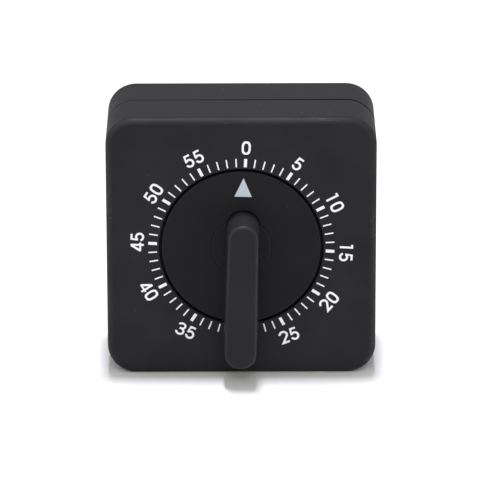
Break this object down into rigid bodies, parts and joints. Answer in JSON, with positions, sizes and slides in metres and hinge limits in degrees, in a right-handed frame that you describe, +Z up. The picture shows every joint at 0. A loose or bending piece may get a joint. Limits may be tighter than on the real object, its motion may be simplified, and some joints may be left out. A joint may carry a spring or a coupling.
{
  "type": "mechanical kitchen timer",
  "caption": "Square wind-up kitchen timer: matt black two-part case, flush dial disc with a long bar handle, and a spring-driven clockwork with a bell inside.",
  "frame": {"origin": "middle of the flat surface that the case stands on, halfway through the depth of the case", "axes": "+Z up, -Y out of the dial towards the user, +X to the right as the dial is read"},
  "size_m": [0.07, 0.0413, 0.07],
  "materials": {
    "case_plastic": "fine matt grain, black",
    "knob_plastic": "satin, black",
    "steel": "ground and stamped",
    "spring_steel": "tempered, blued",
    "screw_steel": "zinc plated",
    "brass": "stamped, bright",
    "bell_steel": "nickel plated"
  },
  "bodies": {
    "case": {"front_shell": "case_plastic", "rear_shell": "case_plastic", "case_screws": "screw_steel", "front_plate": "steel", "rear_plate": "steel", "pillars": "brass", "pillar_nuts": "screw_steel", "movement_screws": "screw_steel", "arbor_bushes": "brass", "mainspring": "spring_steel", "spring_post": "steel", "hammer_spring": "spring_steel", "trip_spring": "spring_steel", "bell_post": "steel", "bell": "bell_steel", "bell_nut": "screw_steel"},
    "knob": {"knob_disc": "knob_plastic", "knob_handle": "knob_plastic", "main_arbor": "steel", "main_wheel": "brass", "clutch_spring": "steel", "trip_cam": "brass"},
    "second_train": {"second_arbor": "steel", "second_wheel": "brass"},
    "third_train": {"third_arbor": "steel", "third_wheel": "brass"},
    "fourth_train": {"fourth_arbor": "steel", "fourth_wheel": "brass"},
    "escape_train": {"escape_arbor": "steel", "escape_wheel": "brass"},
    "balance": {"balance_arbor": "steel", "pallet_yoke": "brass", "pallet_pins": "steel", "balance_wheel": "brass"},
    "strike_train": {"strike_arbor": "steel", "strike_wheel": "brass"},
    "hammer_arm": {"hammer_arbor": "steel", "hammer_verge": "brass", "verge_pins": "steel", "hammer": "steel"},
    "trip": {"trip_arbor": "steel", "trip_lever": "brass"}
  },
  "joints": [
    {"name": "knob_turn", "type": "hinge", "parent": "case", "child": "knob", "pos_m": [0, 0, 0.035], "axis": [0, 1, 0], "range_deg": [0, 354], "deforming": ["mainspring"]},
    {"name": "second_spin", "type": "hinge", "parent": "case", "child": "second_train", "pos_m": [-0.01341, 0, 0.04625], "axis": [0, 1, 0], "range_deg": [-2124, 0]},
    {"name": "third_spin", "type": "hinge", "parent": "case", "child": "third_train", "pos_m": [-0.00087, 0, 0.05248], "axis": [0, 1, 0], "range_deg": [0, 12744]},
    {"name": "fourth_spin", "type": "hinge", "parent": "case", "child": "fourth_train", "pos_m": [0.00956, 0, 0.04966], "axis": [0, 1, 0], "range_deg": [-63720, 0]},
    {"name": "escape_spin", "type": "hinge", "parent": "case", "child": "escape_train", "pos_m": [0.01611, 0, 0.04184], "axis": [0, 1, 0], "range_deg": [0, 318600]},
    {"name": "strike_spin", "type": "hinge", "parent": "case", "child": "strike_train", "pos_m": [-0.01341, 0, 0.02375], "axis": [0, 1, 0], "range_deg": [-2124, 0]},
    {"name": "balance_swing", "type": "hinge", "parent": "case", "child": "balance", "pos_m": [0.01747, 0, 0.03396], "axis": [0, 1, 0], "range_deg": [-10, 10]},
    {"name": "hammer_swing", "type": "hinge", "parent": "case", "child": "hammer_arm", "pos_m": [-0.00643, 0, 0.01872], "axis": [0, 1, 0], "range_deg": [-8, 7.5], "stiffness_Nm_per_rad": 0.0002, "deforming": ["hammer_spring"]},
    {"name": "trip_drop", "type": "hinge", "parent": "case", "child": "trip", "pos_m": [0.01125, 0, 0.02159], "axis": [0, 1, 0], "range_deg": [-5, 0], "stiffness_Nm_per_rad": 0.0002, "deforming": ["trip_spring"]}
  ],
  "couplings": [
    {"joint": "second_spin", "follows": "knob_turn", "ratio": -6},
    {"joint": "third_spin", "follows": "knob_turn", "ratio": 36},
    {"joint": "fourth_spin", "follows": "knob_turn", "ratio": -180},
    {"joint": "escape_spin", "follows": "knob_turn", "ratio": 900},
    {"joint": "strike_spin", "follows": "knob_turn", "ratio": -6}
  ]
}
